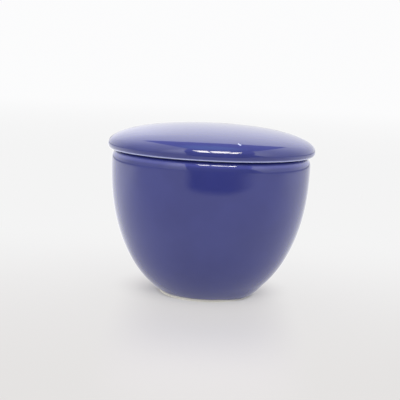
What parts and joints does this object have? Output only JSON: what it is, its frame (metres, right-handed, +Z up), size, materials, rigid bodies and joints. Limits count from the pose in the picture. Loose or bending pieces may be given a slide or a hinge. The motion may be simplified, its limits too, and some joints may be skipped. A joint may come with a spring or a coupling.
{
  "type": "lidded sugar bowl",
  "caption": "Round handleless glazed bowl on a bare foot ring, with a loose low domed lid that overhangs the rim; keeps sugar on the table.",
  "frame": {"origin": "centre of the foot ring on the surface that the bowl stands on", "axes": "+Z up along the axis that both pieces are turned about; +X and +Y are any two level directions, with +Y away from the picture's viewer"},
  "size_m": [0.102, 0.102, 0.0846],
  "materials": {
    "bowl_glaze": "glossy cobalt blue glaze on cream earthenware, bare on the foot ring",
    "lid_glaze": "glossy cobalt blue glaze on cream earthenware, bare on the lower edge of the locating ring"
  },
  "bodies": {
    "bowl": {"bowl": "bowl_glaze"},
    "lid": {"lid": "lid_glaze"}
  },
  "joints": [
    {"name": "lid_lift", "type": "slide", "parent": "bowl", "child": "lid", "axis": [0, 0, 1], "range_m": [0, 0.12]}
  ]
}
